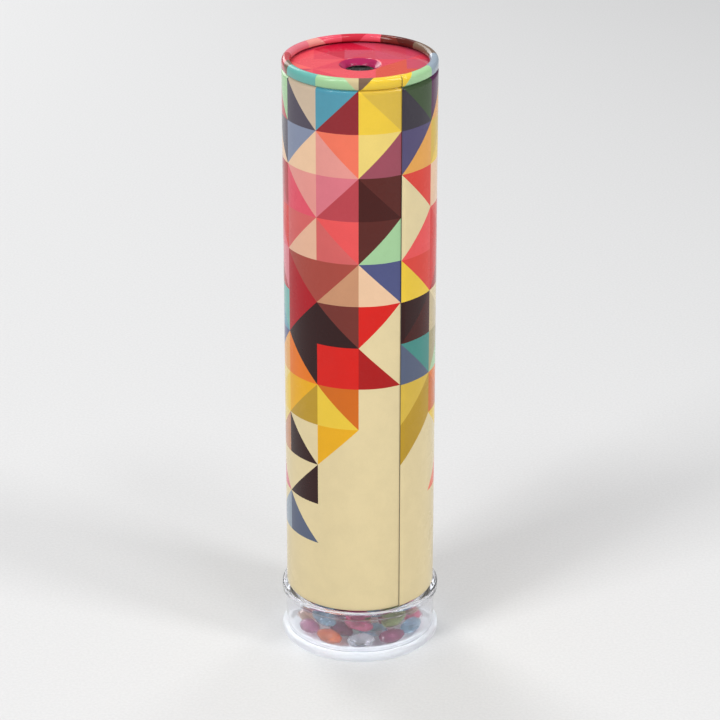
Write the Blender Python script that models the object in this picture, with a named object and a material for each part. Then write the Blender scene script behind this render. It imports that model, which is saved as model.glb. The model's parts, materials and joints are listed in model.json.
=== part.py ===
"""Tin kaleidoscope: a printed tinplate tube with a mirror prism inside, and a clear drum of gems on its end.

Metres, +Z up. The toy stands on the drum's lid with its eyepiece up, and the origin is the centre of the
lid's underside. Every turned piece is a profile of (radius, height) points swept about the Z axis, which is
also the axis that the drum turns on. Run with: blender --background --python part.py
"""

import math
import random

import bmesh
import bpy
from mathutils import Matrix, Vector

MM = 0.001
GAP = 0.3 * MM  # space left between pieces that touch or rest on each other
SIDES = 48  # facets of every turned piece; they share one phase, so nested walls stay parallel

# Driving sizes
HEIGHT = 185.0 * MM  # lid underside to the crest of the rolled rim
TUBE_R = 22.5 * MM  # outside of the tin tube
TIN = 0.3 * MM  # thickness of the tinplate, for both tube and eyepiece cap
FLANGE_R = 24.0 * MM  # the drum's lid and rear flange
DRUM_DEPTH = 16.5 * MM  # lid underside to the back of the rear flange

# Tube
TUBE_BOTTOM = DRUM_DEPTH + GAP
TUBE_BORE_R = TUBE_R - TIN
RIM_ROLL_R = 1.15 * MM  # rolled rim, to the middle of the sheet
HEM_ROLL_R = 0.6 * MM  # rolled hem at the drum end, to the middle of the sheet
CREASE_DROP = 3.4 * MM  # crest to the middle of the crease that seats the cap
CREASE_DEPTH = 0.7 * MM
CREASE_HALF = 0.55 * MM

# Eyepiece
CAP_R = TUBE_BORE_R - 0.45 * MM
CAP_DROP = 2.5 * MM  # crest to the face of the cap
FUNNEL_R = 7.0 * MM  # where the cap starts to turn down into the eye hole
FUNNEL_ROLL = 1.0 * MM
FUNNEL_SLOPE = 37  # degrees
FUNNEL_DEPTH = 1.95 * MM
EYE_R = 4.1 * MM
WINDOW_R = TUBE_BORE_R - 0.6 * MM
WINDOW_THICK = 0.8 * MM
WASHER_THICK = 0.8 * MM
WASHER_HOLE_R = 7.0 * MM

# Gem drum, one clear moulding, and its lid
BARREL_R = 22.8 * MM
BARREL_WALL = 1.2 * MM
FLANGE_THICK = 2.5 * MM
FLANGE_ROUND = 0.9 * MM  # rounding of the edges of both flanges
PANE_THICK = 1.2 * MM  # the floor between gems and mirrors
NECK_R = 20.6 * MM
NECK_WALL = 1.2 * MM
NECK_RISE = 5.2 * MM
LIP_R = 21.2 * MM  # snap lip round the neck
EDGE = 0.3 * MM  # broken corners of the mouldings
LID_THICK = 2.5 * MM
LID_DISC_BASE = 0.4 * MM  # the lid's middle is raised off the table by this much
LID_DISC_TOP = 1.6 * MM
LID_RING_R = 20.2 * MM  # inner edge of the ring that the toy stands on
SPIGOT_RISE = 1.3 * MM
SPIGOT_WALL = 1.0 * MM

# Bush: the fixed ring in the tube's end that the neck snaps into and turns in
BUSH_R = TUBE_BORE_R - GAP
BUSH_BOTTOM = TUBE_BOTTOM + 1.5 * MM
BUSH_LIP = 1.6 * MM
BUSH_GROOVE = 2.1 * MM
BUSH_LEDGE = 1.2 * MM
BUSH_LEDGE_R = 19.8 * MM
BUSH_TOP = BUSH_BOTTOM + BUSH_LIP + BUSH_GROOVE + BUSH_LEDGE

# Mirror prism
MIRROR_THICK = 1.2 * MM
MIRROR_FACE = 10.6 * MM  # axis to the reflecting faces
MIRROR_BOTTOM = BUSH_TOP + GAP
PAD_HALF_WIDTH = 14.0 * MM
PAD_LENGTH = 60.0 * MM

# Gems
GEM_DEPTH = 4.0 * MM
GEM_SIDES = 10
GEM_LEVELS = ((-0.5, 0.50), (-0.26, 0.87), (0.0, 1.0), (0.26, 0.87), (0.5, 0.50))
BED_HEIGHT = 4.15 * MM  # middle of the layer that lies on the lid
PILE_HEIGHT = 9.4 * MM  # middle of the layer heaped on it
BED_TILT = 7  # degrees that a gem may lie off level
PILE_TILT = 20
GEM_SHAPES = {
    "oval": (4.4 * MM, 3.25 * MM),
    "marquise": (4.8 * MM, 2.9 * MM),
    "teardrop": (4.5 * MM, 3.0 * MM),
    "leaf": (4.7 * MM, 2.8 * MM),
}
GEM_COLOURS = {
    "pink": (0.86, 0.10, 0.30),
    "mauve": (0.55, 0.22, 0.45),
    "plum": (0.30, 0.05, 0.18),
    "olive": (0.42, 0.46, 0.12),
    "amber": (0.80, 0.33, 0.10),
    "blue": (0.45, 0.68, 0.86),
    "peach": (0.94, 0.62, 0.45),
    "ice": (0.86, 0.84, 0.92),
}


def clear_scene():
    for obj in list(bpy.data.objects):
        bpy.data.objects.remove(obj, do_unlink=True)


def material(name, colour, roughness, metallic=0.0, transmission=0.0):
    """A Principled material with one plain colour."""
    mat = bpy.data.materials.new(name)
    mat.use_nodes = True
    shader = mat.node_tree.nodes["Principled BSDF"]
    shader.inputs["Base Color"].default_value = (*colour, 1.0)
    shader.inputs["Roughness"].default_value = roughness
    shader.inputs["Metallic"].default_value = metallic
    shader.inputs["Transmission Weight"].default_value = transmission
    return mat


def empty(name, parent=None):
    """A parent for a moving group, on the Z axis, which every group turns about or slides along."""
    obj = bpy.data.objects.new(name, None)
    obj.empty_display_size = 10 * MM
    bpy.context.collection.objects.link(obj)
    obj.parent = parent
    return obj


def finish_mesh(bm, name, mat, parent=None, smooth=True):
    """Turns a bmesh into a named object with its faces out and its round stretches shaded smooth."""
    bmesh.ops.remove_doubles(bm, verts=bm.verts, dist=0.001 * MM)
    bmesh.ops.recalc_face_normals(bm, faces=bm.faces)
    mesh = bpy.data.meshes.new(name)
    bm.to_mesh(mesh)
    bm.free()
    if smooth:
        mesh.shade_smooth()
        mesh.set_sharp_from_angle(angle=math.radians(30))
    mesh.materials.append(mat)
    obj = bpy.data.objects.new(name, mesh)
    bpy.context.collection.objects.link(obj)
    obj.parent = parent
    return obj


def arc(centre, radius, start, end, steps):
    """Points along an arc in the profile plane, angles in degrees from +radius towards +Z."""
    points = []
    for i in range(steps + 1):
        angle = math.radians(start + (end - start) * i / steps)
        points.append((centre[0] + radius * math.cos(angle), centre[1] + radius * math.sin(angle)))
    return points


def sheet_outline(path, thickness):
    """The closed outline of a sheet of even thickness whose middle follows an open path."""
    points = [Vector(point) for point in path]
    left = []
    right = []
    for i, point in enumerate(points):
        before = (point - points[i - 1]).normalized() if i > 0 else None
        after = (points[i + 1] - point).normalized() if i < len(points) - 1 else None
        along = ((before or after) + (after or before)).normalized()
        side = Vector((-along.y, along.x))
        mitre = side.dot(Vector((-(before or after).y, (before or after).x)))
        offset = side * (thickness / 2 / mitre)
        left.append(point + offset)
        right.append(point - offset)
    return [tuple(point) for point in left + right[::-1]]


def turned(name, outline, mat, parent=None):
    """Sweeps a closed outline of (radius, height) points round the Z axis."""
    bm = bmesh.new()
    verts = [bm.verts.new((radius, 0.0, height)) for radius, height in outline]
    edges = []
    for i, vert in enumerate(verts):
        following = verts[(i + 1) % len(verts)]
        on_axis = vert.co.x < 1e-9 and following.co.x < 1e-9
        if not on_axis:
            edges.append(bm.edges.new((vert, following)))
    bmesh.ops.spin(
        bm,
        geom=verts + edges,
        cent=(0, 0, 0),
        axis=(0, 0, 1),
        angle=math.tau,
        steps=SIDES,
        use_merge=True,
    )
    return finish_mesh(bm, name, mat, parent)


def prism(name, outline, low, high, mat, turn=0.0):
    """Extrudes a closed (x, y) outline from one height to another, turned about the Z axis."""
    bm = bmesh.new()
    face = bm.faces.new([bm.verts.new((x, y, low)) for x, y in outline])
    result = bmesh.ops.extrude_face_region(bm, geom=[face], use_keep_orig=True)
    top = [item for item in result["geom"] if isinstance(item, bmesh.types.BMVert)]
    bmesh.ops.translate(bm, verts=top, vec=(0, 0, high - low))
    bmesh.ops.rotate(bm, verts=bm.verts, cent=(0, 0, 0), matrix=Matrix.Rotation(turn, 3, "Z"))
    return finish_mesh(bm, name, mat, smooth=False)


def tube_body(mat):
    """One tinplate sheet: hem rolled in at the drum end, crease under the rim, rim rolled over the cap."""
    wall = TUBE_R - TIN / 2
    hem = (wall - HEM_ROLL_R, TUBE_BOTTOM + TIN / 2 + HEM_ROLL_R)
    rim = (wall - RIM_ROLL_R, HEIGHT - TIN / 2 - RIM_ROLL_R)
    crease = HEIGHT - CREASE_DROP
    path = arc(hem, HEM_ROLL_R, 150, 360, 6)
    path += [(wall, crease - CREASE_HALF), (wall - CREASE_DEPTH, crease), (wall, crease + CREASE_HALF)]
    path += arc(rim, RIM_ROLL_R, 0, 215, 8)
    return turned("tube_body", sheet_outline(path, TIN), mat)


def cap_face():
    """Height of the middle of the cap's sheet."""
    return HEIGHT - CAP_DROP - TIN / 2


def eyepiece_cap(mat):
    """Pressed tin disc, turned down in the middle into a funnel with the eye hole."""
    face = cap_face()
    roll = (FUNNEL_R, face - FUNNEL_ROLL)
    path = [(CAP_R, face)] + arc(roll, FUNNEL_ROLL, 90, 90 + FUNNEL_SLOPE, 4)
    path.append((EYE_R, face - FUNNEL_DEPTH))
    return turned("eyepiece_cap", sheet_outline(path, TIN), mat)


def ring_outline(inner, outer, low, high):
    return [(inner, low), (outer, low), (outer, high), (inner, high)]


def window_top():
    """The clear disc lies against the lower edge of the cap's funnel."""
    return cap_face() - FUNNEL_DEPTH - 0.4 * MM


def eye_stack(window_mat, card_mat):
    """Clear disc behind the eye hole, and the card washer between it and the mirrors."""
    top = window_top()
    base = top - WINDOW_THICK
    turned("eye_window", ring_outline(0.0, WINDOW_R, base, top), window_mat)
    washer_top = base - GAP
    outline = ring_outline(WASHER_HOLE_R, WINDOW_R, washer_top - WASHER_THICK, washer_top)
    turned("mirror_stop_washer", outline, card_mat)
    return washer_top - WASHER_THICK - GAP


def mirror_prism(top, mirror_mat, foam_mat):
    """Three mirror strips whose long edges meet in a triangle, and a foam pad behind each."""
    half_width = MIRROR_FACE * math.sqrt(3) - 0.18 * MM
    back = MIRROR_FACE + MIRROR_THICK
    strip = [
        (-half_width, MIRROR_FACE),
        (half_width, MIRROR_FACE),
        (half_width, back),
        (-half_width, back),
    ]
    pad_r = TUBE_BORE_R - GAP
    side = math.degrees(math.acos(PAD_HALF_WIDTH / pad_r))
    pad = [(-PAD_HALF_WIDTH, back + GAP), (PAD_HALF_WIDTH, back + GAP)]
    pad += arc((0, 0), pad_r, side, 180 - side, 6)
    middle = (MIRROR_BOTTOM + top) / 2
    for i in range(3):
        turn = math.radians(180 + 120 * i)
        prism(f"mirror_{i + 1}", strip, MIRROR_BOTTOM, top, mirror_mat, turn)
        low = middle - PAD_LENGTH / 2
        prism(f"foam_pad_{i + 1}", pad, low, low + PAD_LENGTH, foam_mat, turn)


def drum_bush(mat):
    """Ring in the tube's end: a lip holding the neck, a groove for its snap, and a ledge for the mirrors."""
    groove_r = LIP_R + GAP
    lip_top = BUSH_BOTTOM + BUSH_LIP
    groove_top = lip_top + BUSH_GROOVE
    outline = [
        (BUSH_R, BUSH_BOTTOM),
        (BUSH_R, BUSH_TOP),
        (BUSH_LEDGE_R, BUSH_TOP),
        (BUSH_LEDGE_R, groove_top),
        (groove_r, groove_top),
        (groove_r, lip_top),
        (NECK_R + GAP, lip_top),
        (NECK_R + GAP, BUSH_BOTTOM),
    ]
    return turned("drum_bush", outline, mat)


def flange_rim(low, high):
    """The rounded rim shared by the lid and the rear flange, from the underside out and up to the top."""
    inset = FLANGE_R - FLANGE_ROUND
    lower = arc((inset, low + FLANGE_ROUND), FLANGE_ROUND, -90, 0, 3)
    upper = arc((inset, high - FLANGE_ROUND), FLANGE_ROUND, 0, 90, 3)
    return lower + upper


def gem_drum(mat, parent):
    """Clear moulding: barrel round the gems, pane above them, rear flange, and a neck with a snap lip."""
    bore = BARREL_R - BARREL_WALL
    flange_base = DRUM_DEPTH - FLANGE_THICK
    pane_base = DRUM_DEPTH - PANE_THICK
    lip_base = BUSH_BOTTOM + BUSH_LIP + GAP
    neck_top = DRUM_DEPTH + NECK_RISE
    outline = [
        (0.0, pane_base),
        (bore, pane_base),
        (bore, LID_THICK + GAP),
        (BARREL_R, LID_THICK + GAP),
        (BARREL_R, flange_base),
    ]
    outline += flange_rim(flange_base, DRUM_DEPTH)
    outline += [
        (NECK_R, DRUM_DEPTH),
        (NECK_R, lip_base),
        (LIP_R, lip_base + EDGE),
        (LIP_R, lip_base + 2.5 * EDGE),
        (NECK_R + 0.1 * MM, neck_top),
        (NECK_R - NECK_WALL, neck_top),
        (NECK_R - NECK_WALL, DRUM_DEPTH),
        (0.0, DRUM_DEPTH),
    ]
    return turned("gem_drum", outline, mat, parent)


def drum_lid(mat, parent):
    """Frosted lid: a flange to stand on, a raised middle, and a spigot that plugs the barrel."""
    spigot_r = BARREL_R - BARREL_WALL - GAP
    spigot_top = LID_THICK + SPIGOT_RISE
    outline = [
        (0.0, LID_DISC_BASE),
        (LID_RING_R - LID_DISC_BASE, LID_DISC_BASE),
        (LID_RING_R, 0.0),
    ]
    outline += flange_rim(0.0, LID_THICK)
    outline += [
        (spigot_r, LID_THICK),
        (spigot_r, spigot_top - EDGE),
        (spigot_r - EDGE, spigot_top),
        (spigot_r - SPIGOT_WALL, spigot_top),
        (spigot_r - SPIGOT_WALL, LID_DISC_TOP),
        (0.0, LID_DISC_TOP),
    ]
    return turned("drum_lid", outline, mat, parent)


def gem_outline(shape):
    """(x, y) points round a gem's girdle, long axis on X."""
    half_length, half_width = GEM_SHAPES[shape]
    points = []
    for i in range(GEM_SIDES):
        angle = math.tau * i / GEM_SIDES
        across = math.sin(angle)
        if shape in ("marquise", "leaf"):
            across = math.copysign(abs(across) ** 1.35, across)
        if shape in ("teardrop", "leaf"):
            across *= 1.0 - 0.28 * math.cos(angle)
        points.append((half_length * math.cos(angle), half_width * across))
    return points


def gem_mesh(shape):
    """A cut gem: five levels of one outline, with a flat table on each side."""
    bm = bmesh.new()
    outline = gem_outline(shape)
    rings = []
    for level, share in GEM_LEVELS:
        rings.append([bm.verts.new((x * share, y * share, level * GEM_DEPTH)) for x, y in outline])
    for lower, upper in zip(rings, rings[1:]):
        for i in range(GEM_SIDES):
            following = (i + 1) % GEM_SIDES
            bm.faces.new((lower[i], lower[following], upper[following], upper[i]))
    bm.faces.new(rings[0][::-1])
    bm.faces.new(rings[-1])
    bmesh.ops.recalc_face_normals(bm, faces=bm.faces)
    mesh = bpy.data.meshes.new(f"gem_{shape}")
    bm.to_mesh(mesh)
    bm.free()
    return mesh


def gem_ring(prefix, first, count, radius, height, tilt, meshes, mats, parent, chance):
    """A ring of gems laid end to end about the axis, each turned, tipped and coloured its own way."""
    shapes = list(meshes)
    colours = list(mats)
    phase = chance.uniform(0, math.tau)
    for i in range(count):
        number = first + i
        angle = phase + math.tau * i / count
        colour = colours[(number * 3 + len(prefix)) % len(colours)]
        shape = shapes[number * 3 % len(shapes)]
        gem = bpy.data.objects.new(f"{prefix}_{number:02d}_{colour}", meshes[shape].copy())
        gem.data.materials.append(mats[colour])
        bpy.context.collection.objects.link(gem)
        gem.location = (radius * math.cos(angle), radius * math.sin(angle), height)
        turn = angle + math.pi / 2 + math.radians(chance.uniform(-7, 7)) + math.pi * chance.randint(0, 1)
        roll = math.radians(chance.uniform(-tilt, tilt))
        pitch = math.radians(chance.uniform(-tilt, tilt))
        gem.rotation_euler = (roll, pitch, turn)
        gem.parent = parent
    return first + count


def gems(bed, pile, mats):
    """The layer that lies on the lid, and the looser heap on it, which falls to the pane when turned over."""
    chance = random.Random(11)
    meshes = {shape: gem_mesh(shape) for shape in GEM_SHAPES}
    number = gem_ring("gem", 1, 10, 15.9 * MM, BED_HEIGHT, BED_TILT, meshes, mats, bed, chance)
    number = gem_ring("gem", number, 5, 8.2 * MM, BED_HEIGHT, BED_TILT, meshes, mats, bed, chance)
    gem_ring("gem", number, 1, 0.0, BED_HEIGHT, BED_TILT, meshes, mats, bed, chance)
    number = gem_ring("loose_gem", 1, 8, 14.6 * MM, PILE_HEIGHT, PILE_TILT, meshes, mats, pile, chance)
    gem_ring("loose_gem", number, 3, 5.8 * MM, PILE_HEIGHT, PILE_TILT, meshes, mats, pile, chance)
    for mesh in meshes.values():
        bpy.data.meshes.remove(mesh)


def main():
    clear_scene()
    tin = material("printed_tin", (0.72, 0.16, 0.12), 0.22)
    pink_tin = material("pink_tin", (0.85, 0.20, 0.26), 0.28)
    clear = material("clear_plastic", (0.95, 0.97, 0.98), 0.05, transmission=0.9)
    frosted = material("frosted_plastic", (0.90, 0.92, 0.93), 0.45, transmission=0.6)
    window = material("window_plastic", (0.97, 0.98, 0.98), 0.03, transmission=0.95)
    white = material("white_plastic", (0.85, 0.85, 0.83), 0.4)
    card = material("grey_card", (0.45, 0.42, 0.37), 0.9)
    mirror = material("mirror", (0.92, 0.93, 0.94), 0.02, metallic=1.0)
    foam = material("foam", (0.20, 0.20, 0.21), 0.95)
    gem_mats = {}
    for colour, rgb in GEM_COLOURS.items():
        gem_mats[colour] = material(f"gem_{colour}", rgb, 0.08, transmission=0.6)

    tube_body(tin)
    eyepiece_cap(pink_tin)
    mirror_top = eye_stack(window, card)
    mirror_prism(mirror_top, mirror, foam)
    drum_bush(white)

    drum = empty("drum_axis")
    gem_drum(clear, drum)
    drum_lid(frosted, drum)
    bed = empty("gem_bed_axis", drum)
    pile = empty("loose_gems_axis", bed)
    gems(bed, pile, gem_mats)


main()
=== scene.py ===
"""Looks for the tin kaleidoscope: printed tube and cap, clear drum of gems, floor, light and camera."""

import json
import math

import bmesh
import bpy
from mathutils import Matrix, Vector


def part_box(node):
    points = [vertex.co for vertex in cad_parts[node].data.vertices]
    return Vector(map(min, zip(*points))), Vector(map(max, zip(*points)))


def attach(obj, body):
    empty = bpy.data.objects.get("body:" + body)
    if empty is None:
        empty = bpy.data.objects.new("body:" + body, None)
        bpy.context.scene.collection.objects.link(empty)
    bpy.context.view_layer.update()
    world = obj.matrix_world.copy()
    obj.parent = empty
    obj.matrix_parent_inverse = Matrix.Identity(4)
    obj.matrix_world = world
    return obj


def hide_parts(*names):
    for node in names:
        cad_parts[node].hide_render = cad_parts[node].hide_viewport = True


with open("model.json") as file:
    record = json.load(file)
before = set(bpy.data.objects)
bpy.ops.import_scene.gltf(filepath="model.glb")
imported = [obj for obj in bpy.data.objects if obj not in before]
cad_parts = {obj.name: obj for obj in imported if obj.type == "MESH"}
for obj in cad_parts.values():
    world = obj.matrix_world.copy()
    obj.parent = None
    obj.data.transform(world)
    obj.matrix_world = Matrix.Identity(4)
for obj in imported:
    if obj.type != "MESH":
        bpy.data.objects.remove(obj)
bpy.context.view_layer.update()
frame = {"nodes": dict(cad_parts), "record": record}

MM = 0.001

# Sizes that come from the frame
TUBE_LOW, TUBE_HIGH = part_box("tube_body")
TUBE_R = TUBE_HIGH.x
CREST = TUBE_HIGH.z
HEM = TUBE_LOW.z
CAP_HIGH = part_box("eyepiece_cap")[1]
CAP_R = CAP_HIGH.x
CAP_FACE = CAP_HIGH.z
DRUM_LOW, DRUM_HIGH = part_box("gem_drum")
LID_LOW, LID_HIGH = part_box("drum_lid")
FLANGE_R = DRUM_HIGH.x

# Tinplate
TIN = 0.3 * MM
RIM_ROLL_R = 1.3 * MM  # outside of the rolled rim
HEM_ROLL_R = 0.75 * MM  # outside of the rolled hem
CREASE_DROP = 3.4 * MM  # crest to the middle of the crease
CREASE_DEPTH = 0.7 * MM
CREASE_HALF = 0.55 * MM
CREASE_STEPS = 4  # facets on each side of the crease
CREASE_POWER = 1.25  # how pinched the crease is: 1 is a plain vee
RIM_CURL = 215  # degrees that the rim is rolled through
HEM_CURL = 210
LAP_STEP = 0.16 * MM  # how far the two ends of the lap seam stand off the tube's radius
LAP_FLAP = 0.15  # columns of sheet hidden under the seam
LAP_RAMP = (0.12, 0.42)  # columns from the seam over which the sheet returns to the tube's radius
TIN_COLOUR = (0.62, 0.6, 0.56)

# Print: a lattice of square cells, each cut by one diagonal
COLUMNS = 11
ROW = 13.05 * MM
SPLIT = 8  # facets across a cell
SEAM_TURN = math.radians(-90 + 31.7)  # the seam stands to the right of the side that faces the camera
PRINT_DROP = 0.1 * MM  # from the middle of the crease down to the first whole row
CAP_CELL = 8.9 * MM  # side of a cell of the cap's print

# Funnel of the cap
FUNNEL_R = 6.7 * MM
FUNNEL_ROLL = 1.4 * MM
FUNNEL_SLOPE = 37  # degrees
FUNNEL_DEPTH = 1.75 * MM
FUNNEL_EDGE = 0.17 * MM  # how far down the roll the funnel's own inks start; they are partly print and partly painted shade
EYE_R = 4.1 * MM

# Drum mouldings
EDGE = 0.3 * MM  # rounding of small corners
BARREL_R = 22.8 * MM
BARREL_WALL = 1.2 * MM
FLANGE_THICK = 2.5 * MM
FLANGE_ROUND = 0.9 * MM
DRUM_DEPTH = 16.5 * MM
PANE_THICK = 1.2 * MM
NECK_R = 20.6 * MM
NECK_WALL = 1.2 * MM
LIP_R = 21.2 * MM
LIP_BASE = 20.2 * MM
LIP_FLAT = 1.5 * EDGE
LIP_LEAD = 0.1 * MM  # how far the end of the snap's ramp stands off the neck
LID_DISC_BASE = 0.4 * MM
LID_DISC_TOP = 1.6 * MM
LID_RING_R = 20.2 * MM
SPIGOT_GAP = 0.3 * MM
SPIGOT_WALL = 1.0 * MM

# Meshes
TURNED_SIDES = 144
RIM_STEPS = 18
HEM_STEPS = 10
FUNNEL_STEPS = 10
FLANGE_STEPS = 8
EDGE_STEPS = 4
CAP_RINGS = (1.0, 0.8, 0.55)  # shares of the cap's radius at which its flat face is divided
CUT_REACH = 1e-5  # cells: a point this near a cut is taken to lie on it
WELD = 0.001 * MM  # points nearer than this are one
SHARP_ANGLE = math.radians(32)  # a turned piece's corners above this stay sharp
FLAT_ANGLE = math.radians(0.7)  # edges of a gem below this lie inside one flat
GEM_CREASE = 0.6  # how firmly a gem keeps its edges: 1 is sharp

GLOSS_VEIL = 0.018  # what the lacquer's gloss adds to every ink as it is seen

# Inks as they are seen, by the letter that the tables below call them by
INKS = {
    "R": "#DC2D28",  # signal red
    "r": "#B01C1E",  # deep red
    "j": "#E24E44",  # orange red
    "C": "#F67C62",  # coral orange
    "c": "#EE5C5C",  # coral
    "d": "#D96866",  # dusty coral
    "l": "#E65A6C",  # rose
    "s": "#EA9C93",  # salmon
    "p": "#E07C88",  # pink
    "o": "#BE4B53",  # old rose
    "k": "#CA3C4B",  # crimson rose
    "K": "#B3262F",  # crimson
    "b": "#AC5046",  # brick
    "W": "#94353A",  # wine
    "P": "#7C2C35",  # plum red
    "g": "#A05462",  # mauve
    "n": "#7A3C36",  # red brown
    "M": "#60322E",  # maroon brown
    "X": "#4E2926",  # dark maroon
    "m": "#3B1517",  # darkest maroon
    "Y": "#F1CC48",  # yellow
    "y": "#F1D67C",  # pale yellow
    "G": "#DCBA4E",  # gold
    "q": "#C09A36",  # mustard
    "O": "#EAAA5A",  # light orange
    "A": "#EC7E2E",  # orange
    "Z": "#E08F38",  # amber
    "a": "#D6702A",  # burnt orange
    "T": "#CC9673",  # camel
    "e": "#F1CAA6",  # peach
    "w": "#EAB99C",  # pink peach
    "E": "#E8D6A8",  # cream
    "t": "#D0BBA3",  # tan
    "H": "#CFBD94",  # khaki cream
    "h": "#B0A47A",  # khaki
    "x": "#7C6656",  # grey brown
    "V": "#A9D2A0",  # mint
    "z": "#70B4AC",  # light teal
    "v": "#4F928A",  # teal green
    "B": "#5A9CB0",  # teal blue
    "u": "#98A6B4",  # grey blue
    "U": "#6689A4",  # steel blue
    "L": "#8A93AA",  # lavender slate
    "J": "#5F687E",  # slate blue
    "I": "#575C86",  # indigo
    "i": "#333A66",  # navy
    "S": "#5A5460",  # slate
    "D": "#46424A",  # dark slate
    "F": "#4A5A42",  # dark green
    "f": "#38331F",  # dark olive
    "N": "#1E1D2E",  # near black
    "Q": "#5C5578",  # plum slate
    "_": "#5A2C52",  # deep plum
    "0": "#EFB22C",  # golden
    "1": "#E65660",  # cap coral
    "2": "#DC485A",  # cap rose red
    "3": "#CA4C62",  # cap rose
    "4": "#F86A68",  # cap salmon
    "5": "#C62E44",  # cap red
    "6": "#CA4A5C",  # cap dull pink
    "7": "#D65442",  # cap orange
    "8": "#AE3560",  # funnel magenta, deeper than the cap's print: partly print, partly painted shade of the recess
    "9": "#96284C",  # funnel plum: a darker copy of the funnel magenta for its front half, painted shade
}

# Body print, from the row on the rim to the row on the hem, each from the seam to the right. "\xy" is a cell
# cut from top left to bottom right with x above; "/xy" one cut from top right to bottom left with x above.
BODY_PRINT = r"""
/YV \uu \xx \nM /lk \sl \pp \xo \zz \HV /xY
\FD /_O \XZ \RR \lk /dw \cd \Vo \tS /BW \GY
/QO /GY \yG \Zq /PW \ok /bT \Se /Le \Cs /yg
\jE \ee /Gq /ZV \uU /kM \Mm \Kk \sl /po \MX
/Ec \jR \fN \fN /IA \MZ \jj \Rl /dw \cd /MV
\jY /Rr \ZR /NA \Yy /YG \Zy \pK \bK /bT \Ie
/mX \EH \Mr \Hh /HA \Yn /GV \zB /Km \nm /RE
\vJ /hV \rR /hR \wR /nm \FN /IO \mA \RR \Er
/Gq \Aa /rK \R0 /rJ \DI /iZ /yY /0q \aY \EE
/qE \YE /EG \mX \iE \EI /iE /yT \Em /0E \EE
\EE /EC \GE /mE \EK /DE \EE \Ep /Em \EE \EE
\EE \EE \Ep \EE /EV \EE \EJ /Eu \EJ \EE \EE
\EE \EE \EE /Es \EE \EE \EE \EE \EE \EE \EE
\EE \EE \EE \EE \EE \EE \EE \EE \EE \EE \EE
"""

# Cap print, seen from above with the side that faces the camera at the bottom
CAP_PRINT = r"""
\23 /25 \35 /66 \63
/21 \52 /36 \63 /32
\14 /12 \33 /27 \33
/61 \12 /11 \77 /74
\31 /14 \44 /47 \77
"""


# ---------------------------------------------------------------- shapes


def arc(centre, radius, start, end, steps):
    """Points along an arc, angles in degrees from +radius towards +Z."""
    points = []
    for i in range(steps + 1):
        angle = math.radians(start + (end - start) * i / steps)
        points.append((centre[0] + radius * math.cos(angle), centre[1] + radius * math.sin(angle)))
    return points


def lengths_along(path):
    """Running length at each point of a path."""
    lengths = [0.0]
    for before, after in zip(path, path[1:]):
        lengths.append(lengths[-1] + math.dist(before, after))
    return lengths


def link(name, mesh, *materials):
    obj = bpy.data.objects.new(name, mesh)
    bpy.context.collection.objects.link(obj)
    for mat in materials:
        mesh.materials.append(mat)
    return obj


def ink_colour(letter):
    """The linear colour of an ink."""
    code = INKS[letter].lstrip("#")
    channels = [int(code[i : i + 2], 16) / 255 for i in (0, 2, 4)]
    linear = [c / 12.92 if c <= 0.04045 else ((c + 0.055) / 1.055) ** 2.4 for c in channels]
    return (*[max(0.002, c - GLOSS_VEIL) for c in linear], 1.0)


def read_print(text):
    return [line.split() for line in text.split("\n") if line]


def ink_at(rows, column, row):
    """The ink at a point of the lattice, given as fractions of a column and a row."""
    cell_column = math.floor(column)
    cell_row = math.floor(row)
    line = rows[max(0, min(cell_row, len(rows) - 1))]
    cut, above, below = line[cell_column % len(line)]
    across = column - cell_column
    down = row - cell_row
    if cut == "\\":
        return above if across > down else below
    return above if across + down < 1 else below


def printed_sheet(name, rows, columns_at, rows_at, place):
    """A sheet cut along its print: a grid of (column, row) points, split on each cell's diagonal,
    inked, and then bent into shape by place(column, row)."""
    bm = bmesh.new()
    grid = [[bm.verts.new((column, row, 0)) for column in columns_at] for row in rows_at]
    for upper, lower in zip(grid, grid[1:]):
        for i in range(len(columns_at) - 1):
            bm.faces.new((lower[i], lower[i + 1], upper[i + 1], upper[i]))
    for cut, normal in (("\\", (1, -1, 0)), ("/", (1, 1, 0))):
        on_line = {}
        for face in bm.faces:
            centre = face.calc_center_median()
            column, row = math.floor(centre.x), math.floor(centre.y)
            if rows[min(row, len(rows) - 1)][column % COLUMNS][0] == cut:
                line = column - row if cut == "\\" else column + row + 1
                on_line.setdefault(line, []).append(face)
        for line, faces in on_line.items():
            geometry = set(faces)
            for face in faces:
                geometry.update(face.edges)
                geometry.update(face.verts)
            bmesh.ops.bisect_plane(
                bm,
                geom=list(geometry),
                dist=CUT_REACH,
                plane_co=(line, 0, 0),
                plane_no=normal,
            )
    layer = bm.faces.layers.float_color.new("print")
    for face in bm.faces:
        centre = face.calc_center_median()
        face[layer] = ink_colour(ink_at(rows, centre.x, centre.y))
        face.smooth = True
    for vert in bm.verts:
        vert.co = place(vert.co.x, vert.co.y)
    mesh = bpy.data.meshes.new(name)
    bm.to_mesh(mesh)
    bm.free()
    return mesh


def add_thickness(obj, thickness, inside_slot, edge_slot):
    """Gives a sheet its thickness, on the side away from its face."""
    solid = obj.modifiers.new("thickness", "SOLIDIFY")
    solid.thickness = thickness
    solid.offset = -1
    solid.use_rim = True
    solid.material_offset = inside_slot
    solid.material_offset_rim = edge_slot


def sweep(bm, verts, edges):
    """Sweeps an outline that lies in the XZ plane round the Z axis."""
    bmesh.ops.spin(
        bm,
        geom=verts + edges,
        cent=(0, 0, 0),
        axis=(0, 0, 1),
        angle=math.tau,
        steps=TURNED_SIDES,
        use_merge=True,
    )
    bmesh.ops.remove_doubles(bm, verts=bm.verts, dist=WELD)


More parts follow.
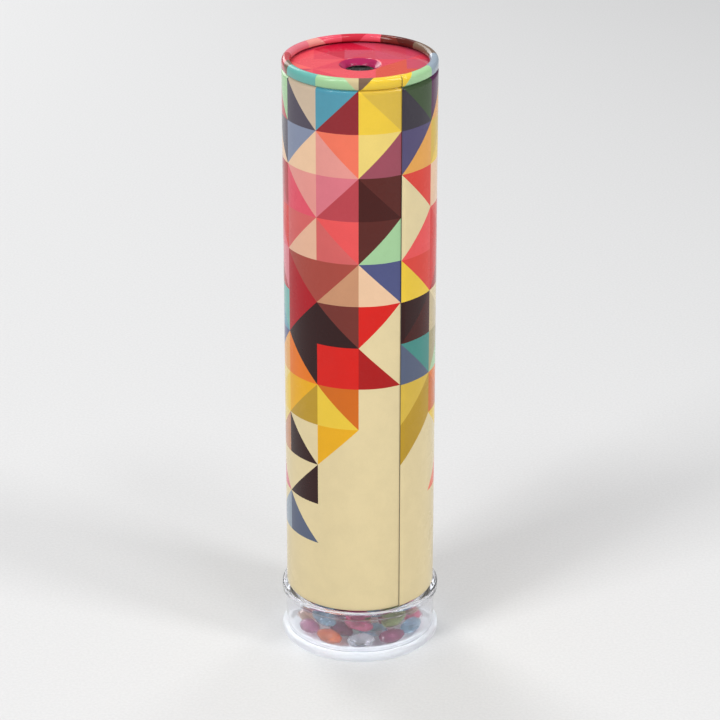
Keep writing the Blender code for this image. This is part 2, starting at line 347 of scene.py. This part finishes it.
def turned(name, outline, *materials):
    """A solid of revolution from a closed outline of (radius, height) points."""
    bm = bmesh.new()
    verts = [bm.verts.new((radius, 0.0, height)) for radius, height in outline]
    edges = []
    for i, vert in enumerate(verts):
        following = verts[(i + 1) % len(verts)]
        if max(vert.co.x, following.co.x) > 0:
            edges.append(bm.edges.new((vert, following)))
    sweep(bm, verts, edges)
    bmesh.ops.recalc_face_normals(bm, faces=bm.faces)
    mesh = bpy.data.meshes.new(name)
    bm.to_mesh(mesh)
    bm.free()
    mesh.shade_smooth()
    mesh.set_sharp_from_angle(angle=SHARP_ANGLE)
    return link(name, mesh, *materials)


# ---------------------------------------------------------------- materials


class Surface:
    """A Principled material, with short ways to add procedural detail to it."""

    def __init__(self, name, **values):
        self.mat = bpy.data.materials.new(name)
        self.mat.use_nodes = True
        self.tree = self.mat.node_tree
        self.shader = self.tree.nodes["Principled BSDF"]
        self.output = self.tree.nodes["Material Output"]
        for key, value in values.items():
            self.set(key.replace("_", " "), value)
        self.place = self.node("ShaderNodeTexCoord").outputs["Object"]

    def node(self, kind, settings=None, **values):
        made = self.tree.nodes.new(kind)
        for key, value in (settings or {}).items():
            setattr(made, key, value)
        for key, value in values.items():
            self.feed(made.inputs[key.replace("_", " ")], value)
        return made

    def feed(self, socket, value):
        """Gives an input its value: a link from another socket, or a constant."""
        if isinstance(value, bpy.types.NodeSocket):
            self.tree.links.new(value, socket)
        else:
            socket.default_value = value

    def stretched(self, x, y, z):
        """Texture coordinates scaled along each axis."""
        mapping = self.node("ShaderNodeMapping", Vector=self.place)
        mapping.inputs["Scale"].default_value = (x, y, z)
        return mapping.outputs["Vector"]

    def noise(self, size, detail=3.0, rough=0.5, vector=None):
        """Noise whose features are about size metres across, from 0 to 1."""
        place = vector or self.place
        made = self.node("ShaderNodeTexNoise", Vector=place, Scale=1 / size, Detail=detail, Roughness=rough)
        return made.outputs["Fac"]

    def spread(self, value, low, high, to_low=0.0, to_high=1.0):
        made = self.node("ShaderNodeMapRange", {"interpolation_type": "SMOOTHSTEP"}, Value=value)
        for key, number in (("From Min", low), ("From Max", high), ("To Min", to_low), ("To Max", to_high)):
            made.inputs[key].default_value = number
        return made.outputs["Result"]

    def maths(self, operation, first, second):
        made = self.node("ShaderNodeMath", {"operation": operation})
        self.feed(made.inputs[0], first)
        self.feed(made.inputs[1], second)
        return made.outputs[0]

    def mix(self, factor, first, second, blend="MIX"):
        """Mixes two colours, each a socket or a tuple."""
        made = self.node("ShaderNodeMix", {"data_type": "RGBA", "blend_type": blend})
        self.feed(made.inputs[0], factor)
        self.feed(made.inputs[6], first)
        self.feed(made.inputs[7], second)
        return made.outputs[2]

    def bump(self, height, depth, under=None):
        """Adds relief of about depth metres; under is the relief that it lies on."""
        made = self.node("ShaderNodeBump", Height=height, Distance=depth)
        if under is not None:
            self.feed(made.inputs["Normal"], under)
        return made.outputs["Normal"]

    def set(self, name, value):
        self.feed(self.shader.inputs[name], value)

    def pass_lamps(self, tint, share=1.0):
        """Lets lamps shine through clear plastic, tinted, as its shadow does in life."""
        clear = self.node("ShaderNodeBsdfTransparent", Color=(*tint, 1.0))
        path = self.node("ShaderNodeLightPath")
        factor = path.outputs["Is Shadow Ray"]
        if share < 1.0:
            factor = self.maths("MULTIPLY", factor, share)
        both = self.node("ShaderNodeMixShader")
        self.feed(both.inputs[0], factor)
        self.feed(both.inputs[1], self.shader.outputs[0])
        self.feed(both.inputs[2], clear.outputs[0])
        self.feed(self.output.inputs["Surface"], both.outputs[0])


def printed_tin(name, roughness):
    """Lithographed tinplate under gloss lacquer: ink mottle, smudges, orange peel and a wavy sheet."""
    surface = Surface(name, IOR=1.5, Specular_IOR_Level=0.04, Coat_Weight=0.5, Coat_Roughness=0.06)
    ink = surface.node("ShaderNodeAttribute", {"attribute_name": "print"}).outputs["Color"]
    mottle = surface.spread(surface.noise(6 * MM, 4, 0.6), 0.3, 0.7, 0.97, 1.01)
    grain = surface.spread(surface.noise(0.25 * MM, 1, 0.5), 0.25, 0.75, 0.98, 1.01)
    tone = surface.maths("MULTIPLY", mottle, grain)
    shade = surface.node("ShaderNodeCombineColor", Red=tone, Green=tone, Blue=tone).outputs[0]
    toned = surface.mix(1.0, ink, shade, "MULTIPLY")
    scuffs = surface.noise(1.1 * MM, 6, 0.75, surface.stretched(1, 1, 0.22))
    worn = surface.spread(scuffs, 0.69, 0.78, 0.0, 0.35)
    surface.set("Base Color", surface.mix(worn, toned, (0.62, 0.58, 0.54, 1.0)))
    smudges = surface.noise(9 * MM, 5, 0.65)
    surface.set("Roughness", surface.spread(smudges, 0.35, 0.7, roughness, roughness + 0.13))
    waves = surface.bump(surface.noise(16 * MM, 1, 0.4, surface.stretched(1, 1, 0.3)), 0.10 * MM)
    peel = surface.bump(surface.noise(0.8 * MM, 2, 0.5), 0.004 * MM, waves)
    surface.set("Normal", peel)
    return surface.mat


def bare_tin(name, colour, roughness):
    """Unprinted tinplate: fine rolling lines along the sheet, and a dull bloom."""
    surface = Surface(name, Metallic=0.9)
    lines = surface.noise(0.12 * MM, 2, 0.5, surface.stretched(1, 1, 0.02))
    bloom = surface.noise(7 * MM, 4, 0.6)
    dark = tuple(c * 0.72 for c in colour)
    surface.set("Base Color", surface.mix(surface.spread(bloom, 0.3, 0.7), (*dark, 1.0), (*colour, 1.0)))
    surface.set("Roughness", surface.spread(lines, 0.3, 0.7, roughness - 0.08, roughness + 0.1))
    surface.set("Normal", surface.bump(lines, 0.006 * MM))
    return surface.mat


def clear_moulding(name, tint, roughness, haze):
    """Injection-moulded clear plastic: faint flow lines, fine scratches, and a touch of haze."""
    surface = Surface(name, Base_Color=(*tint, 1.0), Transmission_Weight=0.97, IOR=1.52)
    flow = surface.noise(5 * MM, 3, 0.5, surface.stretched(1, 1, 2.5))
    scratches = surface.noise(0.5 * MM, 5, 0.8, surface.stretched(1, 1, 6))
    fine = surface.spread(scratches, 0.62, 0.8, 0.0, haze)
    base = surface.spread(flow, 0.3, 0.7, roughness, roughness + 0.03)
    surface.set("Roughness", surface.maths("ADD", base, fine))
    surface.set("Normal", surface.bump(flow, 0.05 * MM))
    surface.pass_lamps((0.93, 0.95, 0.96))
    return surface.mat


def frosted_moulding(name):
    """Frosted plastic: an even spark-eroded grain that blurs what lies on it."""
    surface = Surface(name, Transmission_Weight=0.7, IOR=1.5)
    cloud = surface.noise(4 * MM, 4, 0.6)
    patches = surface.spread(cloud, 0.3, 0.7)
    surface.set("Base Color", surface.mix(patches, (0.93, 0.945, 0.97, 1), (0.97, 0.975, 0.985, 1)))
    grain = surface.noise(0.14 * MM, 2, 0.6)
    surface.set("Roughness", surface.spread(grain, 0.3, 0.7, 0.28, 0.42))
    surface.set("Normal", surface.bump(grain, 0.012 * MM))
    surface.pass_lamps((0.80, 0.82, 0.84))
    return surface.mat


def gem_acrylic(name, colour, clearness):
    """Tinted acrylic: colour swirled a little unevenly through it, polished, with soft moulding marks."""
    surface = Surface(name, Transmission_Weight=clearness, IOR=1.49, Coat_Weight=0.3, Coat_Roughness=0.04)
    swirl = surface.spread(surface.noise(3.5 * MM, 3, 0.6), 0.3, 0.7)
    deep = tuple(c * 0.72 for c in colour)
    pale = tuple(min(1.0, c * 1.12 + 0.03) for c in colour)
    surface.set("Base Color", surface.mix(swirl, (*deep, 1.0), (*pale, 1.0)))
    marks = surface.noise(0.9 * MM, 3, 0.6)
    surface.set("Roughness", surface.spread(marks, 0.3, 0.75, 0.04, 0.14))
    surface.set("Normal", surface.bump(marks, 0.01 * MM))
    surface.pass_lamps(tuple(0.25 + 0.7 * c for c in colour), 0.8)
    return surface.mat


def moulded_plastic(name, colour, roughness):
    """Opaque moulded plastic with a fine grain."""
    surface = Surface(name, IOR=1.48)
    cloud = surface.spread(surface.noise(5 * MM, 3, 0.6), 0.3, 0.7)
    dull = tuple(c * 0.93 for c in colour)
    surface.set("Base Color", surface.mix(cloud, (*dull, 1.0), (*colour, 1.0)))
    grain = surface.noise(0.3 * MM, 3, 0.6)
    surface.set("Roughness", surface.spread(grain, 0.3, 0.7, roughness, roughness + 0.12))
    surface.set("Normal", surface.bump(grain, 0.01 * MM))
    return surface.mat


def grey_board(name):
    """Grey board: fibres and flecks."""
    surface = Surface(name, IOR=1.4, Roughness=0.92)
    fibres = surface.noise(0.6 * MM, 5, 0.7, surface.stretched(1, 0.25, 1))
    flecks = surface.spread(surface.noise(0.35 * MM, 2, 0.5), 0.66, 0.74)
    board = surface.mix(surface.spread(fibres, 0.3, 0.7), (0.16, 0.14, 0.115, 1), (0.27, 0.24, 0.2, 1))
    surface.set("Base Color", surface.mix(flecks, board, (0.08, 0.07, 0.06, 1)))
    surface.set("Normal", surface.bump(fibres, 0.05 * MM))
    return surface.mat


def silvering(name):
    """Silvered strip with a few dim specks."""
    surface = Surface(name, Metallic=1.0)
    specks = surface.spread(surface.noise(0.8 * MM, 3, 0.6), 0.74, 0.8, 0.0, 0.6)
    surface.set("Base Color", surface.mix(specks, (0.9, 0.91, 0.92, 1), (0.45, 0.44, 0.42, 1)))
    haze = surface.noise(12 * MM, 3, 0.6)
    surface.set("Roughness", surface.spread(haze, 0.35, 0.75, 0.015, 0.06))
    return surface.mat


def soft_foam(name):
    """Dark open-cell foam."""
    surface = Surface(name, IOR=1.3, Roughness=0.95)
    voronoi = surface.node("ShaderNodeTexVoronoi", Vector=surface.place, Scale=1 / (0.7 * MM))
    cells = voronoi.outputs["Distance"]
    walls = surface.spread(cells, 0.1, 0.6)
    surface.set("Base Color", surface.mix(walls, (0.008, 0.008, 0.009, 1), (0.05, 0.05, 0.052, 1)))
    surface.set("Normal", surface.bump(cells, 0.25 * MM))
    return surface.mat


def floor_paper(name):
    """Pale seamless paper."""
    surface = Surface(name, IOR=1.35, Roughness=0.8)
    tooth = surface.noise(0.9 * MM, 4, 0.6)
    grain = surface.spread(tooth, 0.3, 0.7)
    surface.set("Base Color", surface.mix(grain, (0.66, 0.66, 0.66, 1), (0.7, 0.7, 0.7, 1)))
    surface.set("Normal", surface.bump(tooth, 0.03 * MM))
    return surface.mat


# ---------------------------------------------------------------- tinplate pieces


def tube_path():
    """The outer face of the sheet, from the end of the rim's curl down to the end of the hem's, as
    (radius, height) points, and the number of the point in the middle of the crease."""
    rim = (TUBE_R - RIM_ROLL_R, CREST - RIM_ROLL_R)
    hem = (TUBE_R - HEM_ROLL_R, HEM + HEM_ROLL_R)
    crease = CREST - CREASE_DROP
    path = arc(rim, RIM_ROLL_R, RIM_CURL, 0, RIM_STEPS)
    above = []
    below = []
    for i in range(CREASE_STEPS + 1):
        share = i / CREASE_STEPS
        radius = TUBE_R - CREASE_DEPTH * (1 - share) ** CREASE_POWER
        above.append((radius, crease + CREASE_HALF * share))
        below.append((radius, crease - CREASE_HALF * share))
    path += above[:0:-1]
    middle = len(path)
    path += below

    # Below the crease the points lie on the print's own lattice
    lengths = lengths_along(path)
    done = lengths[-1] - lengths[middle]
    row = math.ceil((done - PRINT_DROP) / (ROW / SPLIT) + 0.5)
    foot = path[-1][1]
    while True:
        height = foot - (row * (ROW / SPLIT) + PRINT_DROP - done)
        if height <= hem[1]:
            break
        path.append((TUBE_R, height))
        row += 1
    path += arc(hem, HEM_ROLL_R, 0, -HEM_CURL, HEM_STEPS)
    return path, middle


def lap(column):
    """How far the sheet stands off the tube's radius near the seam: out where it starts, in where it ends."""

    def ramp(distance):
        share = (distance - LAP_RAMP[0]) / (LAP_RAMP[1] - LAP_RAMP[0])
        share = min(1.0, max(0.0, share))
        return 1 - share * share * (3 - 2 * share)

    return LAP_STEP * (ramp(column) - ramp(COLUMNS - column))


def make_tube():
    path, crease = tube_path()
    lengths = lengths_along(path)
    start = lengths[crease] + PRINT_DROP
    rows_at = [1 + (length - start) / ROW for length in lengths]
    columns_at = [i / SPLIT for i in range(COLUMNS * SPLIT + 1)] + [COLUMNS + LAP_FLAP]

    def place(column, row):
        length = (row - 1) * ROW + start
        i = 0
        while i < len(lengths) - 2 and lengths[i + 1] < length:
            i += 1
        share = (length - lengths[i]) / (lengths[i + 1] - lengths[i])
        radius = path[i][0] + (path[i + 1][0] - path[i][0]) * share + lap(column)
        height = path[i][1] + (path[i + 1][1] - path[i][1]) * share
        angle = SEAM_TURN + column * math.tau / COLUMNS
        return Vector((radius * math.cos(angle), radius * math.sin(angle), height))

    mesh = printed_sheet("tube_skin", read_print(BODY_PRINT), columns_at, rows_at, place)
    skin = link(
        "tube_skin",
        mesh,
        printed_tin("lacquered print", 0.2),
        bare_tin("inside of the tinplate", TIN_COLOUR, 0.35),
        # The cut edge is dark partly as bare steel and partly as painted shadow of the lap seam's step.
        bare_tin("cut edge of the tinplate and painted seam shadow", (0.16, 0.15, 0.15), 0.5),
    )
    add_thickness(skin, TIN, 1, 2)
    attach(skin, "tube")
    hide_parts("tube_body")


def cap_ink(rows, point):
    """The cap's print is a straight lattice, and the funnel has inks of its own: deeper than the print,
    partly print and partly painted shade of the recess, and darker on its front half as painted shade.
    """
    if point.z < CAP_FACE - FUNNEL_EDGE:
        # painted shade: the funnel's wall is darker than the cap, and its front half darker than its back
        return ink_colour("8" if point.y > 0 else "9")
    middle = len(rows) / 2
    return ink_colour(ink_at(rows, point.x / CAP_CELL + middle, middle - point.y / CAP_CELL))


def make_cap():
    roll = (FUNNEL_R, CAP_FACE - FUNNEL_ROLL)
    path = [(CAP_R * share, CAP_FACE) for share in CAP_RINGS]
    path += arc(roll, FUNNEL_ROLL, 90, 90 + FUNNEL_SLOPE, FUNNEL_STEPS)
    path.append((EYE_R, CAP_FACE - FUNNEL_DEPTH))
    bm = bmesh.new()
    verts = [bm.verts.new((radius, 0, height)) for radius, height in path]
    sweep(bm, verts, [bm.edges.new(pair) for pair in zip(verts, verts[1:])])

    # Cut along the edges of the lattice's cells, and then along every diagonal
    rows = read_print(CAP_PRINT)
    cells = len(rows)
    for i in range(-cells, 2 * cells + 1):
        edge = i - cells / 2
        for normal, offset in (((1, 0, 0), edge), ((0, 1, 0), edge), ((1, 1, 0), i - cells), ((1, -1, 0), i)):
            where = Vector(normal) * offset * CAP_CELL / Vector(normal).length_squared
            geometry = bm.verts[:] + bm.edges[:] + bm.faces[:]
            bmesh.ops.bisect_plane(bm, geom=geometry, dist=WELD, plane_co=where, plane_no=normal)
    layer = bm.faces.layers.float_color.new("print")
    for face in bm.faces:
        if face.normal.z < 0:
            face.normal_flip()
        centre = face.calc_center_median()
        face[layer] = cap_ink(rows, centre)
        face.smooth = centre.z < CAP_FACE - WELD
    mesh = bpy.data.meshes.new("cap_skin")
    bm.to_mesh(mesh)
    bm.free()
    skin = link(
        "cap_skin",
        mesh,
        printed_tin("lacquered cap print", 0.2),
        bare_tin("back of the cap", TIN_COLOUR, 0.35),
        bare_tin("cut edge of the cap", (0.3, 0.28, 0.28), 0.5),
    )
    add_thickness(skin, TIN, 1, 2)
    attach(skin, "tube")
    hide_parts("eyepiece_cap")


# ---------------------------------------------------------------- drum


def flange_rim(low, high):
    """The rounded rim shared by the lid and the rear flange, from the underside out and up to the top."""
    inset = FLANGE_R - FLANGE_ROUND
    lower = arc((inset, low + FLANGE_ROUND), FLANGE_ROUND, -90, 0, FLANGE_STEPS)
    upper = arc((inset, high - FLANGE_ROUND), FLANGE_ROUND, 0, 90, FLANGE_STEPS)
    return lower + upper


def make_drum():
    bore = BARREL_R - BARREL_WALL
    pane = DRUM_DEPTH - PANE_THICK
    outline = [(0.0, pane)] + arc((bore - EDGE, pane - EDGE), EDGE, 90, 0, EDGE_STEPS)
    outline += [(bore, DRUM_LOW.z)]
    outline += arc((BARREL_R - EDGE, DRUM_LOW.z + EDGE), EDGE, -90, 0, EDGE_STEPS)
    outline += arc((BARREL_R + EDGE, DRUM_DEPTH - FLANGE_THICK - EDGE), EDGE, 180, 90, EDGE_STEPS)
    outline += flange_rim(DRUM_DEPTH - FLANGE_THICK, DRUM_DEPTH)
    outline += [
        (NECK_R, DRUM_DEPTH),
        (NECK_R, LIP_BASE),
        (LIP_R, LIP_BASE + EDGE),
        (LIP_R, LIP_BASE + EDGE + LIP_FLAT),
        (NECK_R + LIP_LEAD, DRUM_HIGH.z),
        (NECK_R - NECK_WALL, DRUM_HIGH.z),
        (NECK_R - NECK_WALL, DRUM_DEPTH),
        (0.0, DRUM_DEPTH),
    ]
    drum = turned("drum_moulding", outline, clear_moulding("clear plastic", (0.97, 0.972, 1.0), 0.03, 0.12))
    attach(drum, "drum")
    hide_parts("gem_drum")


def make_lid():
    spigot = BARREL_R - BARREL_WALL - SPIGOT_GAP
    outline = [(0.0, LID_DISC_BASE), (LID_RING_R - LID_DISC_BASE, LID_DISC_BASE), (LID_RING_R, 0.0)]
    outline += flange_rim(0.0, FLANGE_THICK)
    outline += [(spigot, FLANGE_THICK)]
    outline += arc((spigot - EDGE, LID_HIGH.z - EDGE), EDGE, 0, 90, EDGE_STEPS)
    outline += [(spigot - SPIGOT_WALL, LID_HIGH.z), (spigot - SPIGOT_WALL, LID_DISC_TOP), (0.0, LID_DISC_TOP)]
    lid = turned("lid_moulding", outline, frosted_moulding("frosted plastic"))
    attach(lid, "drum")
    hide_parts("drum_lid")


# Colour of each gem's acrylic, and how clear it is
GEM_COLOURS = {
    "pink": ((0.93, 0.10, 0.32), 0.72),
    "mauve": ((0.62, 0.22, 0.42), 0.7),
    "plum": ((0.42, 0.05, 0.20), 0.7),
    "olive": ((0.36, 0.46, 0.10), 0.7),
    "amber": ((0.86, 0.22, 0.06), 0.72),
    "blue": ((0.42, 0.68, 0.90), 0.82),
    "peach": ((0.96, 0.56, 0.42), 0.78),
    "ice": ((0.84, 0.84, 0.94), 0.9),
}


def make_gem(node_name, body, mat):
    """A gem with softened edges, made from its CAD shape."""
    bm = bmesh.new()
    bm.from_mesh(frame["nodes"][node_name].data)
    bmesh.ops.remove_doubles(bm, verts=bm.verts, dist=WELD)
    flat = [edge for edge in bm.edges if edge.is_manifold and edge.calc_face_angle() < FLAT_ANGLE]
    bmesh.ops.dissolve_edges(bm, edges=flat, use_verts=False)
    crease = bm.edges.layers.float.new("crease_edge")
    for edge in bm.edges:
        edge[crease] = GEM_CREASE
    mesh = bpy.data.meshes.new(f"cut_{node_name}")
    bm.to_mesh(mesh)
    bm.free()
    mesh.shade_smooth()
    gem = link(f"cut_{node_name}", mesh, mat)
    soften = gem.modifiers.new("soften", "SUBSURF")
    soften.levels = 2
    soften.render_levels = 2
    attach(gem, body)
    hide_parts(node_name)


def make_gems():
    mats = {}
    for colour, (rgb, clearness) in GEM_COLOURS.items():
        mats[colour] = gem_acrylic(f"{colour} acrylic", rgb, clearness)
    bodies = frame["record"]["behaviour"]["bodies"]
    for body in ("gem_bed", "loose_gems"):
        for node_name in bodies[body]:
            colour = node_name.rsplit("_", 1)[1]
            make_gem(node_name, body, mats[colour])


# ---------------------------------------------------------------- pieces kept from the frame


def dress(node_name, mat):
    obj = frame["nodes"][node_name]
    obj.data.materials.clear()
    obj.data.materials.append(mat)


def dress_inside():
    dress("eye_window", clear_moulding("window acrylic", (1.0, 1.0, 1.0), 0.01, 0.05))
    dress("mirror_stop_washer", grey_board("grey board"))
    dress("drum_bush", moulded_plastic("white plastic", (0.72, 0.72, 0.70), 0.38))
    silver = silvering("silvering")
    foam = soft_foam("packing foam")
    for i in (1, 2, 3):
        dress(f"mirror_{i}", silver)
        dress(f"foam_pad_{i}", foam)


# ---------------------------------------------------------------- stage


def aim(obj, target):
    obj.rotation_euler = (Vector(target) - obj.location).to_track_quat("-Z", "Y").to_euler()


def soft_light(name, place, target, size, power):
    light = bpy.data.lights.new(name, "AREA")
    light.shape = "RECTANGLE"
    light.size, light.size_y = size
    light.energy = power
    obj = bpy.data.objects.new(name, light)
    bpy.context.collection.objects.link(obj)
    obj.location = place
    aim(obj, target)


# Name, place, size and power of each softbox
SOFTBOXES = [
    ("key", (-0.7, -0.62, 0.95), (0.3, 0.7), 6.7),
    ("fill", (0.85, -0.45, 0.7), (0.22, 0.8), 4.8),
    ("back", (-0.45, 0.9, 0.6), (0.5, 0.7), 4.0),
]
# Softboxes overhead, one of each on both sides of the middle
OVERHEAD = [
    ("top front", (0.36, -0.5, 1.12), (0.22, 0.2), 1.9),
    ("top rear", (0.28, 0.5, 1.1), (0.16, 0.2), 1.2),
]
SKY = (0.97, 0.98, 1.0, 1.0)
SKY_STRENGTH = 0.34
FLOOR_SIZE = 8.0
FLOOR_GAP = 0.1 * MM  # keeps the floor clear of the lid's ring


def make_stage():
    bpy.ops.mesh.primitive_plane_add(size=FLOOR_SIZE, location=(0, 0, -FLOOR_GAP))
    floor = bpy.context.active_object
    floor.name = "floor"
    floor.data.materials.append(floor_paper("seamless paper"))

    middle = (0, 0, (CREST + LID_LOW.z) / 2)
    for name, place, size, power in SOFTBOXES:
        soft_light(name, place, middle, size, power)
    for side in (-1, 1):
        for name, (x, y, z), size, power in OVERHEAD:
            soft_light(name, (x * side, y, z), middle, size, power)

    world = bpy.data.worlds.new("studio")
    world.use_nodes = True
    background = world.node_tree.nodes["Background"]
    background.inputs["Color"].default_value = SKY
    background.inputs["Strength"].default_value = SKY_STRENGTH
    bpy.context.scene.world = world
    bpy.context.scene.view_settings.view_transform = "Standard"


VIEW_DISTANCE = 0.7613
VIEW_RISE = 0.2393  # above the crest
AIM_SHARE = 0.487  # height that the camera looks at, as a share of the toy's own
LENS = 139


def make_camera():
    """A long lens that looks down on the toy, a little under a metre off."""
    data = bpy.data.cameras.new("camera")
    data.sensor_width = 36
    data.lens = LENS
    data.clip_start = 0.01
    camera = bpy.data.objects.new("camera", data)
    bpy.context.collection.objects.link(camera)
    camera.location = (0.0, -VIEW_DISTANCE, CREST + VIEW_RISE)
    aim(camera, (0, 0, CREST * AIM_SHARE))
    bpy.context.scene.camera = camera


make_tube()
make_cap()
make_drum()
make_lid()
make_gems()
dress_inside()
make_stage()
make_camera()
